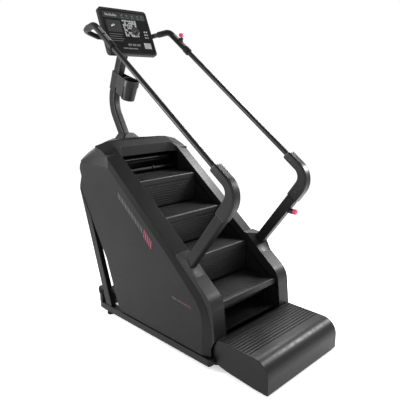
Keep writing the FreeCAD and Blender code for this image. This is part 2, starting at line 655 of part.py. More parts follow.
def crown_wire(points, y, floor):
    """Closed section of the rear top cover: a smooth crown over a flat base."""
    crown = Part.BSplineCurve()
    crown.interpolate([Vector(x, y, z) for x, z in points])
    low_left = Vector(points[0][0], y, floor)
    low_right = Vector(points[-1][0], y, floor)
    edges = [crown.toShape(), Part.LineSegment(crown.EndPoint, low_right).toShape(),
             Part.LineSegment(low_right, low_left).toShape(),
             Part.LineSegment(low_left, crown.StartPoint).toShape()]
    return Part.Wire(edges)


CROWN_FRONT = [(366.0, 1206.0), (340.0, 1238.0), (280.0, 1260.0), (150.0, 1269.0), (0.0, 1272.0)]
CROWN_REAR = [(372.0, 1112.0), (320.0, 1153.0), (230.0, 1203.0), (115.0, 1244.0), (0.0, 1260.0)]
CROWN_Y = (616.0 + GAP, 822.0)
CROWN_FLOOR = 1100.0        # bottom edge of the rear top cover


def crown_solid(lower, floor):
    """Solid under the rear top cover's crown, dropped and narrowed by the wall for its inside."""
    wires = []
    for half_section, y in ((CROWN_FRONT, CROWN_Y[0]), (CROWN_REAR, CROWN_Y[1] - lower)):
        right = [(x * (1 - lower / 372.0), z - lower) for x, z in half_section]
        full = [(-x, z) for x, z in right] + [(x, z) for x, z in reversed(right[:-1])]
        wires.append(crown_wire(full, y, floor))
    return Part.makeLoft(wires, True, True)


def top_rear_cover():
    """Crowned cover from the cap to the rear edge, falling away to both rear corners."""
    plan = [(-380.0, CROWN_Y[0] - 1), (-380.0, CROWN_Y[1], 20.0), (380.0, CROWN_Y[1], 20.0),
            (380.0, CROWN_Y[0] - 1)]
    cover = crown_solid(0.0, 1090.0).common(slab_z(plan, CROWN_FLOOR, 1300)).cut(crown_solid(WALL, 1085.0))
    return cover.cut(mast_core()).removeSplitter()


UPRIGHT_OUTLINE = [(463.0, RAIL_TOP), (531.0, RAIL_TOP), (809.0, 927.0, 10.0), (750.0, 927.0, 10.0)]
UPRIGHT_X = (360.0, 399.0)


def rear_cover():
    """Rear panel between the side covers, following their rear edges."""
    outline = [(816.0, 1099.0), (796.0, 1061.0), (778.0, 1007.0), (804.0, 927.0, 12.0), (501.0, 444.0, 80.0),
               (377.0, 119.0, 24.0), (340.0, 82.0)]
    back = [(y - 9.0, z + 3.0) if len(c) < 3 else (y - 9.0, z + 3.0, c[2]) for c in outline for y, z in [c[:2]]]
    strip = slab_x(outline + list(reversed(back)), -SEAM_HALF + 4, SEAM_HALF - 4)
    slots = [box(-120 + 30 * i, -104 + 30 * i, 500, 800, 620, 740) for i in range(9)]
    upright = slab_x(inset(UPRIGHT_OUTLINE, -GAP), UPRIGHT_X[0] - GAP, UPRIGHT_X[1])
    above = box(-SEAM_HALF, SEAM_HALF, 760, 830, CROWN_FLOOR - GAP, CROWN_FLOOR + 20)
    inlet_hole = box(-272, -178, 300, 500, 216, 264)
    for cutter in (Part.makeCompound(slots), inlet_hole, upright, mirrored(upright), above):
        strip = strip.cut(cutter)
    return strip


# ---- Inner chassis ----

def chassis_plates():
    """Two upright steel plates that carry both shafts, the posts and the beam under the mast."""
    outline = [(-500.0, RAIL_TOP), (-500.0, 300.0, 40.0), (-300.0, 540.0, 60.0), (300.0, 1000.0, 60.0),
               (470.0, 1150.0, 40.0), (640.0, 1170.0, 20.0), (775.0, 1162.0, 10.0), (766.0, 1100.0),
               (732.0, 1005.0), (735.0, 940.0), (440.0, 444.0, 60.0), (300.0, RAIL_TOP)]
    plates = []
    for side in (-1, 1):
        near = side * 307.0 - 4
        plate = slab_x(outline, near, near + 8)
        for centre in (LOWER_CENTRE, UPPER_CENTRE):
            plate = plate.cut(rod_x(near - 1, near + 9, centre.y, centre.z, 20.0))
        plate = plate.cut(rod_x(near - 1, near + 9, MOTOR_CENTRE.y, MOTOR_CENTRE.z, 44.0))
        foot = side * 330.0
        plates.append(plate.fuse(box(foot - 27, foot + 27, -480, 290, RAIL_TOP, RAIL_TOP + 5)))
    mast_beam = box(-303, 303, 690, 764, 1122, 1150)
    mast_socket = box(-44, 44, 668, 774, 1150, 1188)
    head_beam = box(-303, 303, 622, 652, 1140, 1168)
    motor_shelf = box(-303, 303, MOTOR_CENTRE.y - 90, MOTOR_CENTRE.y + 90, RAIL_TOP + 54, RAIL_TOP + 60)
    chassis = plates[0].fuse([plates[1], mast_beam, mast_socket, head_beam, motor_shelf])
    return chassis.cut(mast_core()).removeSplitter()


def bearings():
    """Flanged bearings that carry both shafts on the outer faces of the chassis plates."""
    solids = []
    for centre in (LOWER_CENTRE, UPPER_CENTRE):
        for side in (-1, 1):
            middle = side * 317.0
            ring = rod_x(middle - 6, middle + 6, centre.y, centre.z, 34.0)
            bore = rod_x(middle - 7, middle + 7, centre.y, centre.z, SHAFT_RADIUS + RUNNING_FIT)
            solids.append(ring.cut(bore))
    return Part.makeCompound(solids)


def rear_uprights():
    """Slanted box posts behind the side covers, welded to the base rails."""
    near, far = UPRIGHT_X
    casing = slab_x(inset(SEAM_OUTLINE, -1.0), near - 1, RAIL_OUTER)
    post = slab_x(UPRIGHT_OUTLINE, near, far)
    tie = box(near + 3, SEAM_HALF, 380.0, 520.0, 180.0, 206.0).cut(post)
    inner_strip = slab_x(UPRIGHT_OUTLINE, near, SEAM_HALF - 1)
    outside = casing.cut(inner_strip)
    upright = post.cut(slab_x(inset(UPRIGHT_OUTLINE, 3.0), near + 3, far - 3)).cut(outside)
    upright = upright.fuse(tie.cut(casing)).removeSplitter()
    return Part.makeCompound([upright, mirrored(upright)])


# ---- Mast, cup holder and console ----
MAST_FOOT = Vector(0, 711.0, 1164.8)
MAST_BEND = Vector(0, 916.0, 1520.0)
MAST_TOP = Vector(0, 737.0, 1930.0)
MAST_BEND_RADIUS = 230.0
MAST_DEPTH = 72.0
MAST_WIDTH = 58.0


def mast_section(depth, width, corner):
    """Rounded rectangular section across the mast's foot."""
    run = (MAST_BEND - MAST_FOOT).normalize()
    across = Vector(0, run.z, -run.y)
    corners = [(-width / 2, -depth / 2, corner), (width / 2, -depth / 2, corner),
               (width / 2, depth / 2, corner), (-width / 2, depth / 2, corner)]
    return rounded_wire(corners, lambda p: MAST_FOOT + X_AXIS * p.x + across * p.y)


def mast_core():
    path = bent_path([MAST_FOOT, MAST_BEND, MAST_TOP], [MAST_BEND_RADIUS])
    return path.makePipeShell([mast_section(MAST_DEPTH, MAST_WIDTH, 12.0)], True, False)


def mast():
    """Bent box-section mast, open at the top."""
    path = bent_path([MAST_FOOT, MAST_BEND, MAST_TOP], [MAST_BEND_RADIUS])
    bore = path.makePipeShell([mast_section(MAST_DEPTH - 6, MAST_WIDTH - 6, 9.0)], True, False)
    return mast_core().cut(bore)


def mast_collar():
    """Pyramid-shaped trim on the rear cover round the mast's foot."""
    base = rounded_wire([(-104.0, 668.0, 14.0), (104.0, 668.0, 14.0), (88.0, 812.0, 20.0), (-88.0, 812.0, 20.0)],
                        lambda p: Vector(p.x, p.y, 1240.0))
    head = rounded_wire([(-42.0, 706.0, 10.0), (42.0, 706.0, 10.0), (40.0, 806.0, 14.0), (-40.0, 806.0, 14.0)],
                        lambda p: Vector(p.x, p.y, 1296.0))
    plate = Part.makeLoft([base, head], True, True)
    return plate.cut(crown_solid(0.0, 1090.0)).cut(mast_core())


CUP_BASE = Vector(0, 720.0, 1550.0)
CUP_LEAN = 20.7             # degrees the cup leans towards the user
CUP_HEIGHT = 150.0
CUP_FOOT_RADIUS = 51.0
CUP_RIM_RADIUS = 62.0
CUP_LIP = 44.0              # height of the band round the rim


def cup_place(shape):
    """Leans a cup piece forwards and lifts it onto the mast."""
    shape.rotate(ORIGIN, X_AXIS, CUP_LEAN)
    shape.translate(CUP_BASE)
    return shape


def cup_cone(inward):
    """The bowl, drawn upright round the origin."""
    return Part.makeCone(CUP_FOOT_RADIUS - inward, CUP_RIM_RADIUS - 2.5 - inward, CUP_HEIGHT,
                         Vector(0, 0, inward), Z_AXIS)


def cup_holder():
    """Conical cup with a banded rim, carried by a tapered shroud that wraps the mast."""
    band = rod(Vector(0, 0, CUP_HEIGHT - CUP_LIP), Vector(0, 0, CUP_HEIGHT), CUP_RIM_RADIUS)
    outside = cup_cone(0.0).fuse(band)
    near = CUP_RIM_RADIUS - 3
    far = MAST_WIDTH / 2 + 4
    plan = [(-near, 0.0), (-far, 128.0), (-far, 208.0, 12.0), (far, 208.0, 12.0), (far, 128.0), (near, 0.0)]
    shroud = slab_z(plan, 14.0, CUP_HEIGHT).cut(slab_z(inset(plan, 3.5), 10.0, CUP_HEIGHT + 5))
    notch = box(-100, 100, 112, 134, 10, 44)
    inside = cup_cone(3.5).fuse(rod(Vector(0, 0, CUP_HEIGHT - 1), Vector(0, 0, CUP_HEIGHT + 9), 55.0))
    holder = outside.fuse(shroud.cut(cup_cone(0.0)).cut(notch)).cut(inside)
    return cup_place(holder.removeSplitter()).cut(mast_core())


CONSOLE_FOOT = Vector(0, 615.0, 1866.0)
CONSOLE_LEAN = 22.4
CONSOLE_HEIGHT = 350.0
CONSOLE_HALF_LOW = 217.0
CONSOLE_HALF_TOP = 211.0
CONSOLE_DEPTH = 36.0


def console_place(shape):
    """Leans a console piece back and lifts it onto the mast."""
    shape.rotate(ORIGIN, X_AXIS, -CONSOLE_LEAN)
    shape.translate(CONSOLE_FOOT)
    return shape


def console_outline(inward):
    outline = [(-CONSOLE_HALF_LOW, 0.0, 24.0), (CONSOLE_HALF_LOW, 0.0, 24.0),
               (CONSOLE_HALF_TOP, CONSOLE_HEIGHT, 24.0), (-CONSOLE_HALF_TOP, CONSOLE_HEIGHT, 24.0)]
    return inset(outline, inward) if inward else outline


def console_housing():
    """Rear shell of the console, dished behind the screen."""
    shell = slab_y(console_outline(0), 10, CONSOLE_DEPTH)
    back_edges = [e for e in shell.Edges if e.BoundBox.YMin > CONSOLE_DEPTH - 0.1]
    shell = shell.makeFillet(7.0, back_edges)
    hollow = slab_y(console_outline(4), 9, CONSOLE_DEPTH - 4)
    pod = slab_y([(-110.0, 40.0, 20.0), (110.0, 40.0, 20.0), (90.0, 250.0, 20.0), (-90.0, 250.0, 20.0)],
                 CONSOLE_DEPTH - 4, CONSOLE_DEPTH + 18)
    return console_place(shell.cut(hollow).fuse(pod).removeSplitter())


def console_bezel():
    """Front frame round the screen."""
    frame = slab_y(console_outline(0), 0, 10).cut(slab_y(console_outline(15), -1, 11))
    edges = [e for e in frame.Edges if e.BoundBox.YMax < 0.1 and e.BoundBox.ZMin > -1]
    return console_place(frame.makeFillet(2.5, edges))


def screen_glass():
    """Touch screen pane set just inside the bezel."""
    return console_place(slab_y(console_outline(15.2), 2.5, 9.0))


def console_bracket():
    """Cast bracket that clamps the console and the cross bar to the mast's head."""
    arm = box(-34, 34, 684, 792, 1950, 2006)
    neck = slab_x([(694.0, 1905.0), (760.0, 1905.0), (740.0, 1962.0), (684.0, 1962.0)], -32, 32)
    bracket = arm.fuse(neck)
    for blocker in (mast_core(), console_housing(), crossbar_core()):
        bracket = bracket.cut(blocker)
    return max(bracket.Solids, key=lambda solid: solid.Volume)


# ---- Handrails (right-hand side; the left is its mirror image) ----
POST_FOOT = Vector(POST_X, -215.0, 482.0)
POST_RUN = Vector(0, -0.6, 0.8)
RAIL_LOW = Vector(344.0, -548.0, 1189.0)
RAIL_APEX = Vector(333.0, 614.0, 2045.0)
RAIL_TURN = Vector(306.0, 784.0, 2022.0)
RAIL_INNER = Vector(190.0, 792.0, 1988.0)
RAIL_RADII = [90.0, 60.0]


def post_core(width, depth, corner):
    """Rounded rectangular bar along the leaning post."""
    across = Vector(0, POST_RUN.z, -POST_RUN.y)
    outline = [(-depth / 2, -width / 2, corner), (depth / 2, -width / 2, corner),
               (depth / 2, width / 2, corner), (-depth / 2, width / 2, corner)]
    wire = rounded_wire(outline, lambda p: POST_FOOT + X_AXIS * p.x + across * p.y)
    return Part.Face(wire).extrude(POST_RUN * POST_LENGTH)


def rail_post():
    """Leaning box-section post, bolted to the chassis plate inside the casing."""
    post = post_core(POST_WIDTH, POST_DEPTH, 12.0).cut(post_core(POST_WIDTH - 6, POST_DEPTH - 6, 9.0))
    flange = box(311, POST_X - 10, POST_FOOT.y - 30, POST_FOOT.y + 60, POST_FOOT.z - 60, POST_FOOT.z + 20)
    return post.fuse(flange.cut(post_core(POST_WIDTH, POST_DEPTH, 12.0))).removeSplitter()


ELBOW_OUTLINE = [(-530.6, 970.8), (-596.2, 921.6), (-728.7, 1098.2, 140.0), (-525.0, 1248.0, 20.0),
                 (-486.0, 1204.0, 14.0), (-624.8, 1101.4, 57.0)]
ELBOW_HALF = 28.0


def elbow_cover():
    """Two-part moulded cover over the bend, closed round the post and the thin tube."""
    solid = slab_x(ELBOW_OUTLINE, POST_X - ELBOW_HALF - 4, POST_X + ELBOW_HALF + 4)
    rim = [e for e in solid.Edges if e.BoundBox.XLength < 0.01]
    solid = solid.makeFillet(12.0, rim)
    parting = slab_x(ELBOW_OUTLINE, POST_X + 14, POST_X + 16)
    parting = parting.cut(slab_x(inset(ELBOW_OUTLINE, 1.5), POST_X + 13, POST_X + 17))
    return solid.cut(parting).cut(post_core(POST_WIDTH, POST_DEPTH, 12.0)).cut(handrail_core(TUBE_RADIUS))


def handrail_core(radius):
    return round_bar([RAIL_LOW, RAIL_APEX, RAIL_TURN, RAIL_INNER], RAIL_RADII, radius)


def handrail():
    """Bent handrail tube from the elbow, over the grip and round behind the console."""
    return handrail_core(TUBE_RADIUS).cut(handrail_core(TUBE_RADIUS - TUBE_WALL))


def crossbar_core():
    start = Vector(-RAIL_INNER.x, RAIL_INNER.y, RAIL_INNER.z)
    return rod(start, RAIL_INNER, TUBE_RADIUS)


def rail_crossbar():
    start = Vector(-RAIL_INNER.x, RAIL_INNER.y, RAIL_INNER.z)
    joint = handrail_core(TUBE_RADIUS + 0.01)
    return crossbar_core().cut(rod(start, RAIL_INNER, TUBE_RADIUS - TUBE_WALL)).cut(joint).cut(mirrored(joint))


GRIP_START = 258.0          # distance down the rail from the apex to the grip's lower end


def rail_point(distance):
    """Point on the rail's straight run, this far below the apex."""
    run = (RAIL_LOW - RAIL_APEX).normalize()
    return RAIL_APEX + run * distance


def grip():
    """Moulded rubber grip over the top of the rail, with a stop collar at its lower end."""
    tail = RAIL_APEX + (RAIL_TURN - RAIL_APEX) * 0.62
    path = [rail_point(GRIP_START), RAIL_APEX, tail]
    sleeve = round_bar(path, RAIL_RADII[:1], GRIP_RADIUS)
    collar = rod(rail_point(GRIP_START + 6), rail_point(GRIP_START - 34), GRIP_RADIUS + 3.5)
    return sleeve.fuse(collar).cut(handrail_core(TUBE_RADIUS)).cut(plate_shells(0.0)).removeSplitter()


def plate_shells(relief):
    """Curved pulse plates let into the top of the grip, one above the other."""
    run = (RAIL_LOW - RAIL_APEX).normalize()
    up = Vector(0, -run.z, run.y)
    up = up if up.z > 0 else -up
    shells = []
    for near, far in ((62.0, 128.0), (142.0, 214.0)):
        start = rail_point(near)
        end = rail_point(far)
        ring = rod(start, end, GRIP_RADIUS + 1.2 + relief).cut(rod(start, end, GRIP_RADIUS - 1.5))
        wedge = Part.Face(Part.makePolygon([start, start + up * 60 + X_AXIS * 46, start + up * 60 - X_AXIS * 46,
                                            start])).extrude(end - start)
        shells.append(ring.common(wedge))
    return Part.makeCompound(shells)


def pulse_plates():
    plates = plate_shells(0.0)
    return Part.makeCompound([plates, mirrored(plates)])


# ---- Stop buttons ----
TOP_STOP = Vector(338.0, 482.0, 1962.0)
LOW_STOP = Vector(POST_X, -529.0, 852.0)
STOP_TRAVEL = 5.0


def stop_housing(base, axis):
    """Round switch body with a bore for the button's stem."""
    body = rod(base, base + axis * 34, 16.0)
    flange = rod(base + axis * 30, base + axis * 34, 18.5)
    return body.fuse(flange).cut(rod(base + axis * 12, base + axis * 40, 6 + RUNNING_FIT)).removeSplitter()


def stop_knob(base, axis):
    """Mushroom button on its stem."""
    stem = rod(base + axis * 26, base + axis * 44, 6.0)
    head = Part.makeCone(14.0, 18.5, 9.0, base + axis * (35 + STOP_TRAVEL), axis)
    cap = rod(base + axis * (44 + STOP_TRAVEL), base + axis * (60 + STOP_TRAVEL), 18.5)
    crown = [e for e in cap.Edges if (e.BoundBox.Center - base).dot(axis) > 59 + STOP_TRAVEL]
    return stem.fuse([head, cap.makeFillet(6.0, crown)]).removeSplitter()


def stop_housings():
    """Switch bodies on the right-hand grip and on the right-hand post."""
    top = stop_housing(TOP_STOP, Z_AXIS)
    run = rail_point(0) - rail_point(100)
    cut_grip = rod(rail_point(GRIP_START), rail_point(0) + run * 0.01, GRIP_RADIUS + 0.2)
    plates = plate_shells(0.3)
    low = stop_housing(LOW_STOP, -Y_AXIS)
    low = low.cut(post_core(POST_WIDTH, POST_DEPTH, 12.0))
    return Part.makeCompound([top.cut(cut_grip).cut(plates), low])


# ---- Electrical pieces ----

def control_box():
    """Sealed drive electronics box with cooling ribs, on the floor frame."""
    case = box(-240, -60, -170, -20, RAIL_TOP + PAN_THICKNESS, 230)
    ribs = [box(-236 + 16 * i, -230 + 16 * i, -166, -24, 230, 238) for i in range(11)]
    return case.fuse(ribs)


ROCKER_X = (-218.5, -191.5)
ROCKER_PIVOT = (-1.4, 240.0)    # behind the rear cover's face, and height
INLET_SPLIT = -227.0            # where the inlet ends and the rocker's frame begins


def rear_panel_y(z):
    """Rear cover's outer face at this height, on its lower slanted run."""
    return 377.0 + (z - 119.0) * (501.0 - 377.0) / (444.0 - 119.0)


def power_inlet():
    """Appliance inlet with its recessed socket, three metal blades and the rocker's own frame."""
    y = rear_panel_y(240.0)
    body = box(-271, INLET_SPLIT - GAP, y - 8, y + 3, 217, 263)
    frame = box(INLET_SPLIT, -179, y - 8, y + 3, 217, 263)
    floor = y - 6
    socket = slab_y([(-265.0, 226.0), (-237.0, 226.0), (-237.0, 250.0), (-265.0, 250.0)], floor, y + 4)
    blades = [box(-252 + dx, -250 + dx, floor, y - 1, 234 + dz, 242 + dz)
              for dx, dz in ((-7, 0), (7, 0), (0, 4))]
    rocker_hole = box(ROCKER_X[0] - 1, ROCKER_X[1] + 1, y - 9, y + 4, 229, 251)
    pivot_hole = rod_x(ROCKER_X[0] - 3, ROCKER_X[1] + 3, y + ROCKER_PIVOT[0], ROCKER_PIVOT[1], 1.55)
    return Part.makeCompound([body.cut(socket), frame.cut(rocker_hole).cut(pivot_hole)] + blades)


def power_switch():
    """Rocker of the mains switch, on pivot pins across its middle."""
    y = rear_panel_y(240.0)
    rocker = slab_x([(y - 6, 231.5), (y + 3.4, 231.5, 1.5), (y + 1.8, 240.0), (y + 3.4, 248.5, 1.5),
                     (y - 6, 248.5)], ROCKER_X[0], ROCKER_X[1])
    pivot = rod_x(ROCKER_X[0] - 2.5, ROCKER_X[1] + 2.5, y + ROCKER_PIVOT[0], ROCKER_PIVOT[1], 1.5)
    return rocker.fuse(pivot).removeSplitter()


def cover_screws():
    """Button-head screws along the side covers and through the elbow covers."""
    heads = []
    for y, z in ((-209.0, 94.0), (-440.0, 94.0), (60.0, 94.0), (300.0, 94.0)):
        screw = rod_x(CASING_HALF, CASING_HALF + 2.2, y, z, 5.5)
        heads.extend([screw, mirrored(screw)])
    for y, z in ((-552.0, 1190.0), (-600.0, 992.0)):
        inner_face = POST_X - ELBOW_HALF - 4
        screw = rod_x(inner_face - 2, inner_face, y, z, 6.0)
        heads.extend([screw, mirrored(screw)])
    return Part.makeCompound(heads)


def both_sides(name, shape):
    """The right-hand piece and its mirror image, as two nodes."""
    return {name + "_right": shape, name + "_left": mirrored(shape)}


def build_parts():
    """Every node of the machine, by name."""
    parts = {
        "base_frame": base_frame(),
        "rear_base_cover": rear_base_cover(),
        "levelling_feet": levelling_feet(),
        "wheel_axles": wheel_axles(),
        "transport_wheel_right": transport_wheel(1),
        "transport_wheel_left": transport_wheel(-1),
        "rear_uprights": rear_uprights(),
        "chassis_plates": chassis_plates(),
        "bearings": bearings(),
        "entry_step_top": entry_step_top(),
        "entry_step_tray": entry_step_tray(),
        "top_cap": top_cap(),
        "top_rear_cover": top_rear_cover(),
        "rear_cover": rear_cover(),
        "mast": mast(),
        "mast_collar": mast_collar(),
        "cup_holder": cup_holder(),
        "console_bracket": console_bracket(),
        "console_housing": console_housing(),
        "console_bezel": console_bezel(),
        "screen_glass": screen_glass(),
        "rail_crossbar": rail_crossbar(),
        "pulse_plates": pulse_plates(),
        "stop_housings": stop_housings(),
        "stop_knob_top": stop_knob(TOP_STOP, Z_AXIS),
        "stop_knob_low": stop_knob(LOW_STOP, -Y_AXIS),
        "upper_shaft": upper_shaft(),
        "lower_shaft": shaft_with_sprockets(LOWER_CENTRE, 325.0),
        "drive_belt": drive_belt(),
        "drive_motor": drive_motor(),
        "motor_pulley": motor_pulley(),
        "control_box": control_box(),
        "power_inlet": power_inlet(),
        "power_switch": power_switch(),
        "cover_screws": cover_screws(),
        "upper_turn_step": upper_turn_step(),
        "lower_turn_step": lower_turn_step(),
        "return_steps": return_steps(),
    }
    for index in range(4):
        parts["step_%d" % (index + 1)] = flight_step(index)
    top_start = nosing(0) + UP_FLIGHT * (LOWER_TANGENT + 6) - OUT_OF_FLIGHT * CHAIN_DROP
    low_start = LOWER_CENTRE - OUT_OF_FLIGHT * SPROCKET_RADIUS + UP_FLIGHT * 6
    length = CHAIN_RUN - 12
    flight_axles = [nosing(index) + AXLE_OFFSET for index in range(4)]
    parts["chain_top_run"] = chain_runs(top_start, UP_FLIGHT, length, OUT_OF_FLIGHT, flight_axles)
    parts["chain_return_run"] = chain_runs(low_start, UP_FLIGHT, length, OUT_OF_FLIGHT, return_axles())
    post_hole = post_core(POST_WIDTH + 2, POST_DEPTH + 2, 13.0)
    parts.update(both_sides("side_cover", side_cover()))
    parts.update(both_sides("stringer_cover", stringer_cover()))
    parts.update(both_sides("nose_cover", nose_cover().cut(post_hole)))
    parts.update(both_sides("entry_cheek", entry_cheek()))
    parts.update(both_sides("rail_post", rail_post()))
    parts.update(both_sides("elbow_cover", elbow_cover()))
    parts.update(both_sides("handrail", handrail()))
    parts.update(both_sides("grip", grip()))
    return parts


os.makedirs("parts", exist_ok=True)
for name, shape in build_parts().items():
    shape.exportStep("parts/" + name + ".step")
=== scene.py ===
import json
import math
from random import Random

import bmesh
import bpy
from mathutils import Matrix, Vector


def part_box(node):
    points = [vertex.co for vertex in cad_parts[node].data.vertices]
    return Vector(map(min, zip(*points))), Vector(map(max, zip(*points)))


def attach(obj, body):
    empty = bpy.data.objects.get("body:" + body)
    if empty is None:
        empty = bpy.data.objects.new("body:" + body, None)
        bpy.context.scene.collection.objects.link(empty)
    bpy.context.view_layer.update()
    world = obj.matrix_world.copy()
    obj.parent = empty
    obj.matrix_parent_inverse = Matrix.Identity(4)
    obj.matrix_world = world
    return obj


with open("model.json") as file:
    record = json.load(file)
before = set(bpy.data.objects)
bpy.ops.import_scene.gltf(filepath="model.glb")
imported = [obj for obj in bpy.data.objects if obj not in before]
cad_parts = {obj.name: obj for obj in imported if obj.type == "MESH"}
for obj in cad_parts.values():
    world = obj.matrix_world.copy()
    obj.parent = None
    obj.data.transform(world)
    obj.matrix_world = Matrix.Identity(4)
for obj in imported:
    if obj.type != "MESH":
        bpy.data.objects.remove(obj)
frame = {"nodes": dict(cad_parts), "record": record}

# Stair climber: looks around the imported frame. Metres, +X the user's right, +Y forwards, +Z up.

# ---- Camera ----
CAMERA_PLACE = Vector((-2.224, -2.271, 1.66))
CAMERA_AZIMUTH = math.radians(45.05)
CAMERA_DROP = math.radians(13.6)
CAMERA_LENS = 43.1
SENSOR_WIDTH = 36.0

# ---- Light ----
SKY_WHITE_UP_TO = 0.25      # sine of the height up to which the sky stays white
SKY_OVERHEAD = 0.30
FULL_WHITE = (1, 1, 1, 1)
LAMPS = (                   # name, place, target, size, watts
    ("right_box", (1.45, 0.17, 2.11), (0.2, 0.1, 0.9), 0.9, 40),
    ("step_box", (2.3, -1.5, 2.2), (0.0, -0.8, 0.2), 0.7, 70),
    ("front_box", (-0.8, -3.0, 2.8), (0, -0.4, 0.6), 0.8, 10),
    ("left_box", (-2.0, 1.5, 1.6), (-0.4, 0.45, 0.85), 0.9, 46),
)
FLOOR_REACH = 30.0
FLOOR_THICKNESS = 0.01

# ---- Screen: places are fractions of the glass from its top left, radii are metres ----
CONSOLE_LEAN = math.radians(22.4)
SCREEN_PROUD = 0.0003       # how far the artwork stands off the glass
TILE_THICKNESS = 0.0001
SHAPE_THICKNESS = 0.0002
ARC_STEPS = 24
MENU_BAR = (0.03, 0.04, 0.97, 0.19)
MENU_BLOCKS = 9
MENU_ICONS = (0.45, 0.56, 0.68, 0.80, 0.90)
ICON_RADII = (0.0035, 0.0055)
ROUTE_TILE = (0.07, 0.24, 0.38, 0.52)
SUMMARY_BOX = (0.79, 0.74, 0.95, 0.88)
BOTTOM_BAR = (0.30, 0.88, 0.62, 0.91)
GAUGE_CENTRE = (0.67, 0.47)
GAUGE_DISC = 0.036
GAUGE_RIM = (0.029, 0.033)
GAUGE_MARK = (0.029, 0.034)
GAUGE_HUB = 0.007
MAP_SEED = 7
MAP_COLUMNS = (0.42, 0.46, 0.50, 0.54, 0.58, 0.63, 0.68, 0.73)
MAP_ROWS = (0.21, 0.26, 0.31, 0.37, 0.43, 0.49, 0.55, 0.61)
MAP_STREET = 0.004
MAP_BUILT_SHARE = 0.78
MAP_TOP = 0.2
MAP_LEAN = 0.03             # sideways drift of the streets, as a share of the way down
MAP_JITTER = (0.004, 0.006)
SCREEN_INKS = {             # layer: piece, material, colour, strength
    "tile": ("screen_tiles", "screen_tile", (0.007, 0.0072, 0.008), 0.1),
    "dim": ("screen_shapes_dim", "screen_dim", (0.07, 0.071, 0.074), 0.3),
    "grey": ("screen_shapes_grey", "screen_grey", (0.20, 0.203, 0.208), 0.4),
    "white": ("screen_shapes_white", "screen_white", (0.55, 0.55, 0.55), 0.45),
}

# ---- Marks on the side covers ----
STRIPES_PROUD = 0.00006
STRIPE_THICKNESS = 0.0002
STRIPE_LEAN = 0.35          # lean of a bar, as a share of its breadth
STRIPES = (                 # ink, start and end (Y, Z), bars, breadth, filled share of each step
    ("pale", (0.331, 0.937), (0.072, 0.734), 17, 0.030, 0.34),
    ("red", (0.066, 0.729), (-0.015, 0.654), 5, 0.044, 0.46),
    ("pale", (-0.200, 0.372), (-0.245, 0.368), 4, 0.012, 0.4),
    ("dark_red", (-0.252, 0.367), (-0.370, 0.356), 9, 0.014, 0.5),
)
STRIPE_INKS = {
    "pale": ("ink_silver", (0.085, 0.085, 0.088)),
    "red": ("ink_red", (0.30, 0.022, 0.070)),
    "dark_red": ("ink_dark_red", (0.095, 0.012, 0.024)),
}

# ---- Small hardware ----
SIDES = ((-1, "left"), (1, "right"))
WELD = 1e-6                 # vertices closer than this are one
# painted socket shade: near-black hexagon laid on each cover screw
SOCKET_RADIUS = 0.0026
SOCKET_THICKNESS = 0.0002
OUTER_SCREWS_BEYOND = 0.36  # screws nearer the middle than this face inwards
HUB_RECESS = 0.0058
HUB_INNER = 0.024
HUB_OUTER = 0.032
HUB_THICKNESS = 0.0012
HUB_SIDES = 36
DIMPLES = 5
DIMPLE_FIRST = 18           # degrees
DIMPLE_CIRCLE = 0.0175
DIMPLE_RADIUS = 0.0028
DIMPLE_THICKNESS = 0.0008
DIMPLE_SIDES = 12
NUT_RADIUS = 0.0125
NUT_HEIGHT = 0.007
NUT_BELOW_TOP = 0.0002
LEVELLING_FOOT_OVER = 0.02  # feet lower than this have no stem

# ---- Materials ----
NOISE_RANGE = (0.3, 0.7)    # where nearly all of a noise's values lie
BEVEL_SAMPLES = 4
FINE_GRAIN_DEPTH = 0.0001

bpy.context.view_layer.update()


# ---- Node helpers ----

def shade(colour, amount):
    return tuple(min(1.0, channel * amount) for channel in colour)


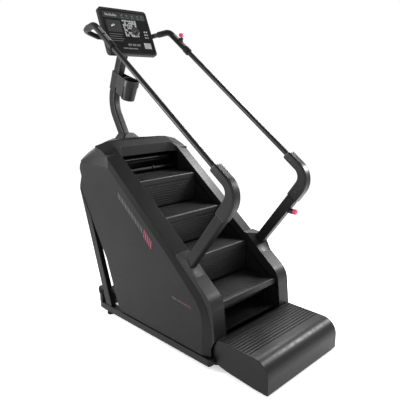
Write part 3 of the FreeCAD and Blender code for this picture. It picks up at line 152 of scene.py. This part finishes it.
class Nodes:
    """Builds a material's node tree with short calls."""

    def __init__(self, name):
        self.material = bpy.data.materials.new(name)
        self.material.use_nodes = True
        self.tree = self.material.node_tree
        self.shader = self.tree.nodes["Principled BSDF"]
        self.place = self.add("ShaderNodeTexCoord").outputs["Object"]

    def add(self, kind, **settings):
        node = self.tree.nodes.new(kind)
        for key, value in settings.items():
            setattr(node, key, value)
        return node

    def link(self, output, target):
        self.tree.links.new(output, target)

    def fix(self, socket, value):
        """Sets a shader value that is the same all over."""
        self.shader.inputs[socket].default_value = value

    def stretched(self, scale):
        mapping = self.add("ShaderNodeMapping")
        mapping.inputs["Scale"].default_value = scale
        self.link(self.place, mapping.inputs["Vector"])
        return mapping.outputs["Vector"]

    def noise(self, scale, detail=3.0, vector=None):
        node = self.add("ShaderNodeTexNoise")
        node.inputs["Scale"].default_value = scale
        node.inputs["Detail"].default_value = detail
        self.link(vector or self.place, node.inputs["Vector"])
        return node.outputs["Fac"]

    def cells(self, scale):
        node = self.add("ShaderNodeTexVoronoi")
        node.inputs["Scale"].default_value = scale
        self.link(self.place, node.inputs["Vector"])
        return node.outputs["Distance"]

    def spread(self, value, low, high):
        """Maps the usual range of a noise onto low to high."""
        node = self.add("ShaderNodeMapRange")
        node.inputs["From Min"].default_value = NOISE_RANGE[0]
        node.inputs["From Max"].default_value = NOISE_RANGE[1]
        node.inputs["To Min"].default_value = low
        node.inputs["To Max"].default_value = high
        self.link(value, node.inputs["Value"])
        return node.outputs["Result"]

    def ramp(self, value, low, high):
        node = self.add("ShaderNodeMix", data_type="RGBA")
        node.inputs["A"].default_value = (*low, 1.0)
        node.inputs["B"].default_value = (*high, 1.0)
        self.link(self.spread(value, 0.0, 1.0), node.inputs["Factor"])
        return node.outputs["Result"]

    def tint(self, value, colour, darkest, lightest):
        """Lets the base colour wander between two shades, and returns it."""
        shades = self.ramp(value, shade(colour, darkest), shade(colour, lightest))
        self.link(shades, self.shader.inputs["Base Color"])
        return shades

    def gloss(self, value, low, high):
        """Lets the roughness wander between two values."""
        self.link(self.spread(value, low, high), self.shader.inputs["Roughness"])

    def bumps(self, layers, round_edges=0.0):
        """Stacks (height, strength, distance) layers, on normals rounded over the edges."""
        normal = None
        if round_edges:
            bevel = self.add("ShaderNodeBevel", samples=BEVEL_SAMPLES)
            bevel.inputs["Radius"].default_value = round_edges
            normal = bevel.outputs["Normal"]
        for height, strength, distance in layers:
            bump = self.add("ShaderNodeBump")
            bump.inputs["Strength"].default_value = strength
            bump.inputs["Distance"].default_value = distance
            self.link(height, bump.inputs["Height"])
            if normal:
                self.link(normal, bump.inputs["Normal"])
            normal = bump.outputs["Normal"]
        self.link(normal, self.shader.inputs["Normal"])


# ---- Finishes ----

def moulded(name, colour, roughness, grain=700.0, depth=0.00025, specular=0.5, edge=0.0012):
    """Injection-moulded plastic: slight mottling, leathery spark-erosion grain, softened edges."""
    n = Nodes(name)
    n.tint(n.noise(scale=5.0, detail=4.0), colour, 0.9, 1.12)
    n.gloss(n.noise(scale=40.0), roughness - 0.05, roughness + 0.05)
    n.fix("Specular IOR Level", specular)
    n.bumps([(n.cells(grain), 0.22, depth), (n.noise(grain * 2.2), 0.14, depth * 0.6)], edge)
    return n.material


def fine_moulded(name, colour, roughness, grain, specular, edge=0.0012):
    """Smooth, glossier moulding with a shallow grain."""
    return moulded(name, colour, roughness, grain, FINE_GRAIN_DEPTH, specular, edge)


def powder_coat(name, colour, roughness, specular=0.5):
    """Powder-coated steel: fine orange peel and a faint fleck."""
    n = Nodes(name)
    n.tint(n.noise(scale=1600.0, detail=2.0), colour, 0.85, 1.2)
    n.gloss(n.noise(scale=60.0), roughness - 0.06, roughness + 0.06)
    n.fix("Specular IOR Level", specular)
    orange_peel = n.noise(scale=420.0, detail=2.0)
    powder = n.noise(scale=1500.0, detail=2.0)
    n.bumps([(orange_peel, 0.06, 0.0002), (powder, 0.06, 0.0001)], 0.001)
    return n.material


def turned_steel(name, colour, roughness, along):
    """Machined or brushed metal, its fine lines drawn out along one axis."""
    n = Nodes(name)
    lines = n.noise(scale=30.0, detail=6.0, vector=n.stretched(along))
    n.tint(lines, colour, 0.8, 1.15)
    n.gloss(lines, roughness - 0.08, roughness + 0.1)
    n.fix("Metallic", 1.0)
    n.bumps([(lines, 0.25, 0.0001)], 0.0008)
    return n.material


def soft_rubber(name, colour, roughness):
    """Rubber with a fine pebble grain and a dusty bloom."""
    n = Nodes(name)
    n.tint(n.noise(scale=25.0, detail=5.0), colour, 0.85, 1.3)
    n.gloss(n.noise(scale=80.0), roughness - 0.06, roughness + 0.06)
    n.fix("Specular IOR Level", 0.28)
    n.bumps([(n.cells(scale=900.0), 0.7, 0.0003)], 0.0012)
    return n.material


def ribbed_step(name, colour):
    """Step moulding: near black, with fine cross ribs between the moulded grooves and scuffed tops."""
    n = Nodes(name)
    scuff = n.noise(scale=7.0, detail=6.0)
    n.tint(scuff, colour, 0.75, 1.5)
    n.gloss(scuff, 0.36, 0.50)
    n.fix("Specular IOR Level", 0.32)
    ribs = n.add("ShaderNodeTexWave", bands_direction="X")
    ribs.inputs["Scale"].default_value = 52.0
    n.link(n.place, ribs.inputs["Vector"])
    n.bumps([(ribs.outputs["Fac"], 0.6, 0.0006), (n.cells(scale=800.0), 0.4, 0.0002)], 0.001)
    return n.material


def dark_glass(name, colour):
    """Screen pane: deep, smooth, with a faint smear in its gloss."""
    n = Nodes(name)
    n.tint(n.noise(scale=3.0), colour, 0.8, 1.3)
    n.gloss(n.noise(scale=12.0, detail=5.0), 0.16, 0.26)
    n.fix("Specular IOR Level", 0.16)
    return n.material


def lit(name, colour, strength):
    """Printed or lit artwork on the screen, slightly uneven like a backlight."""
    n = Nodes(name)
    glow = n.tint(n.noise(scale=60.0, detail=2.0), colour, 0.85, 1.1)
    n.link(glow, n.shader.inputs["Emission Color"])
    n.fix("Emission Strength", strength)
    n.fix("Roughness", 0.35)
    return n.material


def printed(name, colour):
    """Pad-printed ink with a little texture showing through."""
    n = Nodes(name)
    n.tint(n.noise(scale=300.0), colour, 0.85, 1.1)
    n.gloss(n.noise(scale=90.0), 0.38, 0.5)
    n.bumps([(n.cells(scale=700.0), 0.3, 0.0002)])
    return n.material


FINISHES = {
    "casing": moulded("casing_plastic", (0.0115, 0.0115, 0.0120), 0.46, specular=0.16),
    "stringer": fine_moulded("stringer_plastic", (0.0085, 0.0085, 0.0089), 0.38, 900.0, 0.23),
    "rear_panel": moulded("rear_plastic", (0.010, 0.010, 0.0105), 0.55, specular=0.18),
    "frame_paint": powder_coat("frame_coat", (0.0055, 0.0055, 0.0060), 0.40, 0.22),
    "rail_paint": powder_coat("rail_coat", (0.0070, 0.0070, 0.0075), 0.36, 0.36),
    "chassis_steel": turned_steel("chassis_metal", (0.018, 0.018, 0.020), 0.5, (1.0, 60.0, 60.0)),
    "chain_steel": turned_steel("chain_metal", (0.04, 0.04, 0.043), 0.45, (60.0, 4.0, 60.0)),
    "step_plastic": ribbed_step("step_plastic", (0.0042, 0.0042, 0.0045)),
    "entry_plastic": fine_moulded("entry_plastic", (0.0045, 0.0045, 0.0048), 0.36, 800.0, 0.24),
    "tray_plastic": moulded("tray_plastic", (0.004, 0.004, 0.004), 0.6, specular=0.15),
    "trim_plastic": fine_moulded("trim_plastic", (0.0060, 0.0060, 0.0065), 0.34, 1000.0, 0.32),
    "console_shell": moulded("console_plastic", (0.0060, 0.0060, 0.0064), 0.34, specular=0.24),
    "screen": dark_glass("screen_pane", (0.0035, 0.0035, 0.0040)),
    "grip_rubber": soft_rubber("grip_rubber", (0.006, 0.006, 0.006), 0.46),
    "pulse_metal": turned_steel("pulse_metal", (0.42, 0.42, 0.43), 0.3, (60.0, 2.0, 2.0)),
    "stop_red": fine_moulded("stop_red", (0.56, 0.040, 0.105), 0.32, 900.0, 0.5, edge=0.0006),
    "foot_rubber": soft_rubber("foot_rubber", (0.006, 0.006, 0.006), 0.6),
    "wheel_rubber": soft_rubber("wheel_rubber", (0.007, 0.007, 0.007), 0.5),
    "belt_rubber": soft_rubber("belt_rubber", (0.006, 0.006, 0.006), 0.6),
    "motor_iron": powder_coat("motor_iron", (0.03, 0.03, 0.032), 0.55),
    "control_case": powder_coat("control_case", (0.05, 0.05, 0.05), 0.5),
    "inlet_plastic": moulded("inlet_plastic", (0.005, 0.005, 0.005), 0.4, specular=0.25),
    "screw_steel": turned_steel("screw_metal", (0.06, 0.06, 0.06), 0.38, (1.0, 40.0, 40.0)),
}


def paint_frame():
    """Gives every CAD node the finish of its record slot."""
    for part in frame["record"]["subparts"]:
        node = frame["nodes"][part["node"]]
        node.data.materials.clear()
        node.data.materials.append(FINISHES[part["material_slot"]])


# ---- Mesh helpers ----

def piece(name, bm, material, body):
    """Turns a bmesh into a piece that rides on a CAD body."""
    mesh = bpy.data.meshes.new(name)
    bm.to_mesh(mesh)
    bm.free()
    mesh.materials.append(material)
    made = bpy.data.objects.new(name, mesh)
    bpy.context.scene.collection.objects.link(made)
    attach(made, body)


def add_plate(bm, corners, thickness, place):
    """A thin plate over a 2D outline, standing on the plane that place describes."""
    low = [bm.verts.new(place @ Vector((a, b, 0.0))) for a, b in corners]
    high = [bm.verts.new(place @ Vector((a, b, thickness))) for a, b in corners]
    bm.faces.new(high)
    bm.faces.new(list(reversed(low)))
    for i in range(len(corners)):
        j = (i + 1) % len(corners)
        bm.faces.new((low[i], low[j], high[j], high[i]))


def rectangle(x0, y0, x1, y1):
    return [(x0, y0), (x1, y0), (x1, y1), (x0, y1)]


def polar(radius, angle):
    return radius * math.cos(angle), radius * math.sin(angle)


def hexagon(radius):
    return [polar(radius, math.radians(60 * i)) for i in range(6)]


def arc_band(cx, cy, inner, outer, start, end):
    """Outline of a ring sector, angles in degrees."""
    angles = [math.radians(start + (end - start) * i / ARC_STEPS) for i in range(ARC_STEPS + 1)]
    outside = [(cx + outer * math.cos(a), cy + outer * math.sin(a)) for a in angles]
    inside = [(cx + inner * math.cos(a), cy + inner * math.sin(a)) for a in reversed(angles)]
    return outside + inside


def disc_ring(bm, place, inner, outer, height, sides):
    """Flat ring standing on the plane that place describes, closed when inner is zero."""
    angles = [2 * math.pi * i / sides for i in range(sides)]
    for start, end in zip(angles, angles[1:] + angles[:1]):
        corners = [polar(outer, start), polar(outer, end)]
        if inner:
            corners += [polar(inner, end), polar(inner, start)]
        else:
            corners.append((0.0, 0.0))
        add_plate(bm, corners, height, place)
    bmesh.ops.remove_doubles(bm, verts=bm.verts, dist=WELD)


def outward_axes(side):
    """Axes of a plane that faces out of one side: a runs along Y, b along Z."""
    return Matrix(((0, 0, side), (1, 0, 0), (0, 1, 0))).to_4x4()


def side_face(low, high, side, sunk=0.0):
    """Plane at the middle of a box's face on one side, sunk into it."""
    middle = (low + high) / 2
    face = high.x if side > 0 else low.x
    return Matrix.Translation(Vector((face - side * sunk, middle.y, middle.z))) @ outward_axes(side)


# ---- Screen artwork ----

def screen_plane():
    """Width, height and placement of the glass's front face, from the glass's box and its lean."""
    low, high = (Vector(corner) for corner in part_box("screen_glass"))
    run_y = high.y - low.y
    run_z = high.z - low.z
    cos_lean = math.cos(CONSOLE_LEAN)
    sin_lean = math.sin(CONSOLE_LEAN)
    scale = cos_lean ** 2 - sin_lean ** 2
    thickness = (run_y * cos_lean - run_z * sin_lean) / scale
    height = (run_z * cos_lean - run_y * sin_lean) / scale
    corner = Vector((0.0, low.y, low.z + thickness * sin_lean))
    right = Vector((1, 0, 0))
    up = Vector((0, sin_lean, cos_lean))
    out = right.cross(up)
    axes = Matrix((right, up, out)).transposed().to_4x4()
    return high.x - low.x, height, Matrix.Translation(corner + out * SCREEN_PROUD) @ axes


class Screen:
    """Draws thin plates on the glass, in one layer for each ink."""

    def __init__(self):
        self.width, self.height, self.plane = screen_plane()
        self.layers = {layer: bmesh.new() for layer in SCREEN_INKS}

    def point(self, u, v):
        return (u - 0.5) * self.width, (1 - v) * self.height

    def plate(self, layer, corners, thickness):
        outline = [self.point(u, v) for u, v in corners]
        add_plate(self.layers[layer], outline, thickness, self.plane)

    def patch(self, layer, u0, v0, u1, v1, thickness=SHAPE_THICKNESS):
        self.plate(layer, rectangle(u0, v1, u1, v0), thickness)

    def ring(self, layer, centre, inner, outer, start, end):
        outline = arc_band(*self.point(*centre), inner, outer, start, end)
        add_plate(self.layers[layer], outline, SHAPE_THICKNESS, self.plane)

    def finish(self):
        for layer, (name, material, colour, strength) in SCREEN_INKS.items():
            piece(name, self.layers[layer], lit(material, colour, strength), "frame")


def menu_row(screen):
    """Dark bar with small blocks at the left, and open rings over short bars."""
    block_width = 0.017
    block_foot = 0.145
    ring_height = 0.105
    bar_reach = 0.03
    screen.patch("tile", *MENU_BAR, TILE_THICKNESS)
    for i in range(MENU_BLOCKS):
        u = 0.09 + 0.028 * i
        top = 0.085 + 0.012 * (i % 3)
        screen.patch("grey", u, top, u + block_width, block_foot)
    for u in MENU_ICONS:
        screen.ring("grey", (u, ring_height), *ICON_RADII, 0, 300)
        screen.patch("dim", u - bar_reach, 0.150, u + bar_reach, 0.163)


def route_tile(screen):
    """Tile with two half discs, and four lines below it."""
    line_thickness = 0.012
    screen.patch("tile", *ROUTE_TILE, TILE_THICKNESS)
    screen.ring("white", (0.185, 0.385), 0.0, 0.0085, 20, 200)
    screen.ring("white", (0.215, 0.355), 0.0, 0.0075, -60, 120)
    for i in range(4):
        v = 0.565 + 0.052 * i
        screen.patch("dim", 0.07, v, 0.37 - 0.03 * (i % 2), v + line_thickness)


def street_blocks(screen):
    """A made-up street map: uneven blocks with streets between them."""
    random = Random(MAP_SEED)
    across, down = MAP_JITTER
    for u0, u1 in zip(MAP_COLUMNS, MAP_COLUMNS[1:]):
        for v0, v1 in zip(MAP_ROWS, MAP_ROWS[1:]):
            lean = MAP_LEAN * (v0 - MAP_TOP)
            left = u0 + MAP_STREET
            right = u1 - MAP_STREET
            top = v0 + MAP_STREET
            bottom = v1 - MAP_STREET
            corners = [(left + lean, bottom), (right + lean, bottom), (right, top), (left, top)]
            jitter = [(u + random.uniform(-across, across), v + random.uniform(-down, down))
                      for u, v in corners]
            if random.random() < MAP_BUILT_SHARE:
                screen.plate("grey", jitter, TILE_THICKNESS)


def round_gauge(screen):
    """Dark disc over the map, with a part-filled rim and a hub."""
    screen.ring("tile", GAUGE_CENTRE, 0.0, GAUGE_DISC, 0, 360)
    screen.ring("dim", GAUGE_CENTRE, *GAUGE_RIM, 0, 215)
    screen.ring("white", GAUGE_CENTRE, *GAUGE_MARK, -80, -5)
    screen.ring("grey", GAUGE_CENTRE, 0.0, GAUGE_HUB, 0, 360)


def summary_boxes(screen):
    """Small squares at the right, and the boxes along the lower edge."""
    square = (0.03, 0.035)
    box_width = 0.08
    for row in range(3):
        for column in range(2):
            u = 0.86 + 0.05 * column
            v = 0.45 + 0.07 * row
            screen.patch("grey", u, v, u + square[0], v + square[1])
    for i in range(3):
        u = 0.42 + 0.10 * i
        screen.patch("dim", u, 0.78, u + box_width, 0.83)
    screen.patch("dim", *BOTTOM_BAR)
    screen.patch("grey", *SUMMARY_BOX)


def screen_art():
    """Generic workout display, with no lettering."""
    screen = Screen()
    menu_row(screen)
    route_tile(screen)
    street_blocks(screen)
    round_gauge(screen)
    summary_boxes(screen)
    screen.finish()


# ---- Marks on the side covers ----

def side_plane(side):
    """Plane just off a side cover's outer face, from the frame's origin."""
    outermost = Vector(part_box("side_cover_right")[1]).x
    return Matrix.Translation((side * (outermost + STRIPES_PROUD), 0, 0)) @ outward_axes(side)


def slanted_bars(bm, start, end, count, breadth, fill, place):
    """A row of slanted bars from start to end."""
    run = Vector(end) - Vector(start)
    step = run / count
    side = Vector((-run.y, run.x)).normalized() * breadth / 2
    lean = run.normalized() * breadth * STRIPE_LEAN
    for i in range(count):
        a = Vector(start) + step * i
        b = a + step * fill
        corners = [a - side - lean, b - side - lean, b + side + lean, a + side + lean]
        add_plate(bm, [tuple(c) for c in corners], STRIPE_THICKNESS, place)


def side_marks():
    """Plain slanted stripes where the real machine has lettering."""
    inks = {ink: printed(*finish) for ink, finish in STRIPE_INKS.items()}
    for side, word in SIDES:
        layers = {ink: bmesh.new() for ink in STRIPE_INKS}
        for ink, *row in STRIPES:
            slanted_bars(layers[ink], *row, side_plane(side))
        for ink, bm in layers.items():
            piece("side_stripes_" + ink + "_" + word, bm, inks[ink], "frame")


# ---- Small hardware ----

def loose_parts(node_name):
    """(low, high) corners of each separate solid in a CAD node."""
    bm = bmesh.new()
    bm.from_mesh(frame["nodes"][node_name].data)
    bmesh.ops.remove_doubles(bm, verts=bm.verts, dist=WELD)
    seen = set()
    boxes = []
    for first in bm.verts:
        if first in seen:
            continue
        seen.add(first)
        found = [first]     # grows while the loop below walks along it
        for vertex in found:
            for edge in vertex.link_edges:
                other = edge.other_vert(vertex)
                if other not in seen:
                    seen.add(other)
                    found.append(other)
        low = Vector([min(v.co[k] for v in found) for k in range(3)])
        high = Vector([max(v.co[k] for v in found) for k in range(3)])
        boxes.append((low, high))
    bm.free()
    return boxes


def painted_socket_shades():
    """A near-black hexagon on every cover screw: painted shade standing in for the shade inside its socket.
    """
    bm = bmesh.new()
    for low, high in loose_parts("cover_screws"):
        x = (low.x + high.x) / 2
        side = math.copysign(1.0, x if abs(x) > OUTER_SCREWS_BEYOND else -x)
        add_plate(bm, hexagon(SOCKET_RADIUS), SOCKET_THICKNESS, side_face(low, high, side))
    # near-black plate: painted shade of the socket hollow, not a recess
    piece("painted_socket_shades", bm, printed("socket_painted_shade", (0.004, 0.004, 0.004)), "frame")


def wheel_hubs():
    """Hub cap ring with dimples inside it, on the outer side of each transport wheel."""
    for side, word in SIDES:
        low, high = (Vector(corner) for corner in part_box("transport_wheel_" + word))
        place = side_face(low, high, side, HUB_RECESS)
        bm = bmesh.new()
        disc_ring(bm, place, HUB_INNER, HUB_OUTER, HUB_THICKNESS, HUB_SIDES)
        for i in range(DIMPLES):
            angle = math.radians(360 / DIMPLES * i + DIMPLE_FIRST)
            dimple = place @ Matrix.Translation((*polar(DIMPLE_CIRCLE, angle), 0))
            disc_ring(bm, dimple, 0.0, DIMPLE_RADIUS, DIMPLE_THICKNESS, DIMPLE_SIDES)
        piece("wheel_hub_" + word, bm, FINISHES["trim_plastic"], word + "_wheel")


def foot_nuts():
    """Hexagonal lock nut on the stem of every levelling foot."""
    bm = bmesh.new()
    for low, high in loose_parts("levelling_feet"):
        if high.z > LEVELLING_FOOT_OVER:
            middle = (low + high) / 2
            base = high.z - NUT_HEIGHT - NUT_BELOW_TOP
            place = Matrix.Translation((middle.x, middle.y, base))
            add_plate(bm, hexagon(NUT_RADIUS), NUT_HEIGHT, place)
    piece("foot_nuts", bm, FINISHES["screw_steel"], "frame")


# ---- Floor, light and camera ----

def make_floor():
    """Plain pale floor."""
    bm = bmesh.new()
    outline = rectangle(-FLOOR_REACH, -FLOOR_REACH, FLOOR_REACH, FLOOR_REACH)
    add_plate(bm, outline, FLOOR_THICKNESS, Matrix.Translation((0, 0, -FLOOR_THICKNESS)))
    mesh = bpy.data.meshes.new("floor")
    bm.to_mesh(mesh)
    bm.free()
    n = Nodes("floor_paint")
    n.link(n.ramp(n.noise(scale=1.5), (0.90, 0.90, 0.90), (0.94, 0.94, 0.94)), n.shader.inputs["Base Color"])
    n.fix("Roughness", 1.0)
    n.fix("Specular IOR Level", 0.0)
    n.fix("Emission Color", FULL_WHITE)
    n.fix("Emission Strength", 0.5)
    mesh.materials.append(n.material)
    floor = bpy.data.objects.new("floor", mesh)
    bpy.context.scene.collection.objects.link(floor)


def soft_box(name, place, target, size, watts):
    """Square area light that points at a target and stays out of the picture."""
    data = bpy.data.lights.new(name, "AREA")
    data.shape = "SQUARE"
    data.size = size
    data.energy = watts
    lamp = bpy.data.objects.new(name, data)
    lamp.location = place
    lamp.rotation_euler = (Vector(target) - Vector(place)).to_track_quat("-Z", "Y").to_euler()
    lamp.visible_camera = False
    bpy.context.scene.collection.objects.link(lamp)


def make_sky():
    """White studio sky near the horizon and below it, dimmer overhead."""
    world = bpy.data.worlds.new("studio")
    world.use_nodes = True
    tree = world.node_tree
    split = tree.nodes.new("ShaderNodeSeparateXYZ")
    fade = tree.nodes.new("ShaderNodeMapRange")
    fade.inputs["From Min"].default_value = SKY_WHITE_UP_TO
    fade.inputs["From Max"].default_value = 1.0
    fade.inputs["To Min"].default_value = 1.0
    fade.inputs["To Max"].default_value = SKY_OVERHEAD
    direction = tree.nodes.new("ShaderNodeTexCoord").outputs["Generated"]
    tree.links.new(direction, split.inputs["Vector"])
    tree.links.new(split.outputs["Z"], fade.inputs["Value"])
    tree.links.new(fade.outputs["Result"], tree.nodes["Background"].inputs["Strength"])
    tree.nodes["Background"].inputs["Color"].default_value = FULL_WHITE
    bpy.context.scene.world = world


def make_light():
    make_sky()
    for lamp in LAMPS:
        soft_box(*lamp)
    bpy.context.scene.view_settings.view_transform = "Standard"


def make_camera():
    data = bpy.data.cameras.new("camera")
    data.lens = CAMERA_LENS
    data.sensor_width = SENSOR_WIDTH
    data.dof.use_dof = False
    camera = bpy.data.objects.new("camera", data)
    east, north = math.sin(CAMERA_AZIMUTH), math.cos(CAMERA_AZIMUTH)
    flat = math.cos(CAMERA_DROP)
    gaze = Vector((east * flat, north * flat, -math.sin(CAMERA_DROP)))
    camera.location = CAMERA_PLACE
    camera.rotation_euler = gaze.to_track_quat("-Z", "Y").to_euler()
    bpy.context.scene.collection.objects.link(camera)
    bpy.context.scene.camera = camera


paint_frame()
screen_art()
side_marks()
painted_socket_shades()
wheel_hubs()
foot_nuts()
make_floor()
make_light()
make_camera()
